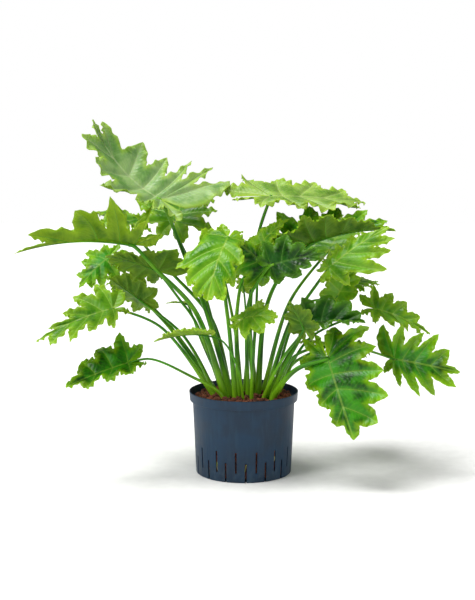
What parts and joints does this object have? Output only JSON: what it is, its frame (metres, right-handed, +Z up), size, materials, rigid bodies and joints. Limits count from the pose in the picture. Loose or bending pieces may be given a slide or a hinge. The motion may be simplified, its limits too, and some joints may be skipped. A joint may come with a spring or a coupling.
{
  "type": "potted philodendron",
  "caption": "Potted tree philodendron with large deeply lobed leaves on long stalks, in a round slotted culture pot filled with clay granules.",
  "frame": {"origin": "centre of the pot's underside, on the surface it stands on", "axes": "+Z up along the pot's axis, -Y towards the plant's front, +X to the right seen from the front"},
  "size_m": [0.9901, 0.4922, 0.8051],
  "materials": {
    "pot_plastic": "matt slate-blue moulded plastic",
    "clay": "dry, rough expanded clay",
    "leaf_pale": "satin leaf, pale green",
    "leaf_mid": "satin leaf, mid green",
    "leaf_bright": "satin leaf, bright green",
    "leaf_young": "satin young leaf, yellow green"
  },
  "bodies": {
    "root": {"pot": "pot_plastic", "clay_granules": "clay", "leaf_upper_left": "leaf_pale", "leaf_upper_left_back": "leaf_mid", "leaf_left_folded": "leaf_mid", "leaf_left_cupped": "leaf_bright", "leaf_left_drooping": "leaf_mid", "leaf_left_inner": "leaf_bright", "leaf_left_lower": "leaf_mid", "leaf_left_low": "leaf_young", "leaf_centre_hanging": "leaf_bright", "leaf_centre": "leaf_bright", "leaf_centre_right": "leaf_bright", "leaf_centre_back": "leaf_bright", "leaf_right_folded": "leaf_pale", "leaf_right_broad": "leaf_mid", "leaf_right_inner": "leaf_bright", "leaf_right_lower": "leaf_mid", "leaf_far_right": "leaf_mid", "leaf_front_right": "leaf_pale", "leaf_right_round": "leaf_young", "leaf_right_dark": "leaf_bright", "leaf_front_small": "leaf_young", "leaf_upper_right": "leaf_mid", "young_leaf_middle": "leaf_young", "young_leaf_left_upper": "leaf_young", "young_leaf_left_lower": "leaf_young", "young_leaf_back": "leaf_young", "leaf_back_right": "leaf_mid", "leaf_back_low_right": "leaf_mid", "leaf_back_centre": "leaf_bright", "leaf_back_left": "leaf_mid", "leaf_back_low_left": "leaf_mid", "leaf_back_far_right": "leaf_mid"}
  },
  "joints": []
}
